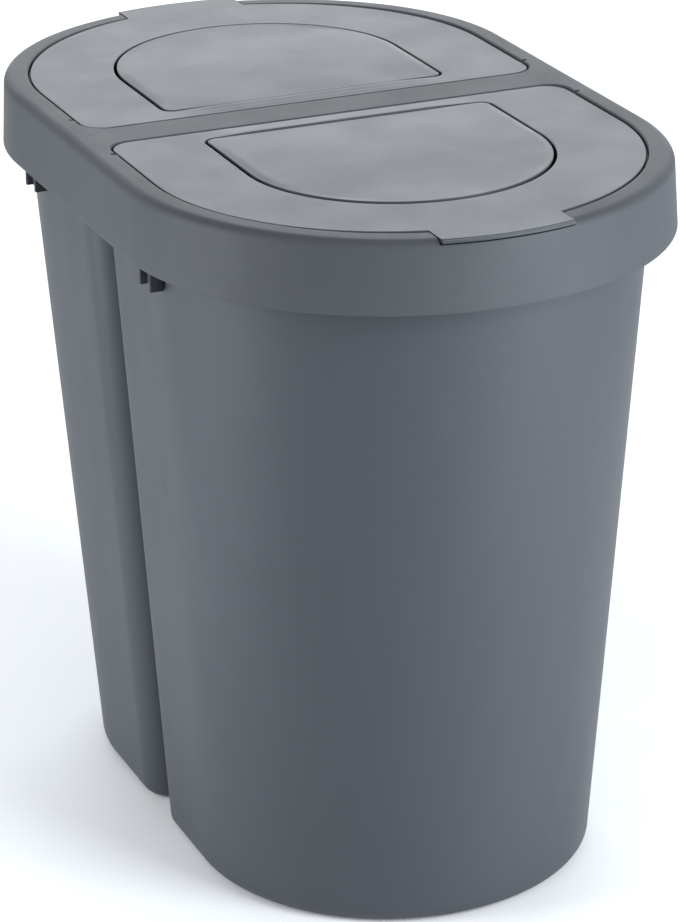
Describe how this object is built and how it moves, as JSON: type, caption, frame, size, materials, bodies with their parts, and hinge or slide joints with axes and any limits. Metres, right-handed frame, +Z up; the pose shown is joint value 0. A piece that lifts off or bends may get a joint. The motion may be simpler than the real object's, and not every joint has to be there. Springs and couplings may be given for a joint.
{
  "type": "double recycling bin",
  "caption": "Double recycling bin: D-shaped buckets side by side under one frame with hinged lids and sprung push flaps.",
  "frame": {"origin": "on the floor, at the middle of the bin, between the two buckets", "axes": "+X along the centre bar between the lids, +Y from the front bucket towards the back bucket, +Z up"},
  "size_m": [0.36, 0.5798, 0.4925],
  "materials": {
    "bucket_plastic": "fine satin grain, moulded",
    "frame_plastic": "fine satin grain, moulded",
    "lid_plastic": "satin, moulded",
    "flap_plastic": "satin, moulded",
    "lug_plastic": "dark, moulded",
    "rod_steel": "drawn wire",
    "spring_steel": "spring wire"
  },
  "bodies": {
    "buckets": {"bucket_front": "bucket_plastic", "lug_front_left": "lug_plastic", "lug_front_right": "lug_plastic", "bucket_back": "bucket_plastic", "lug_back_left": "lug_plastic", "lug_back_right": "lug_plastic"},
    "frame": {"lid_frame": "frame_plastic"},
    "front_lid": {"lid_front": "lid_plastic", "hinge_rod_front": "rod_steel", "spring_front": "spring_steel"},
    "front_flap": {"push_flap_front": "flap_plastic"},
    "back_lid": {"lid_back": "lid_plastic", "hinge_rod_back": "rod_steel", "spring_back": "spring_steel"},
    "back_flap": {"push_flap_back": "flap_plastic"}
  },
  "joints": [
    {"name": "frame_lift", "type": "slide", "parent": "buckets", "child": "frame", "axis": [0, 0, 1], "range_m": [0, 0.12]},
    {"name": "front_lid_hinge", "type": "hinge", "parent": "frame", "child": "front_lid", "pos_m": [0, -0.041, 0.487], "axis": [-1, 0, 0], "range_deg": [0, 95]},
    {"name": "front_flap_hinge", "type": "hinge", "parent": "front_lid", "child": "front_flap", "pos_m": [0, -0.0395, 0.4845], "axis": [1, 0, 0], "range_deg": [0, 80], "stiffness_Nm_per_rad": 0.12, "springref_deg": -57.3, "deforming": ["spring_front"]},
    {"name": "back_lid_hinge", "type": "hinge", "parent": "frame", "child": "back_lid", "pos_m": [0, 0.041, 0.487], "axis": [1, 0, 0], "range_deg": [0, 95]},
    {"name": "back_flap_hinge", "type": "hinge", "parent": "back_lid", "child": "back_flap", "pos_m": [0, 0.0395, 0.4845], "axis": [-1, 0, 0], "range_deg": [0, 80], "stiffness_Nm_per_rad": 0.12, "springref_deg": -57.3, "deforming": ["spring_back"]}
  ]
}
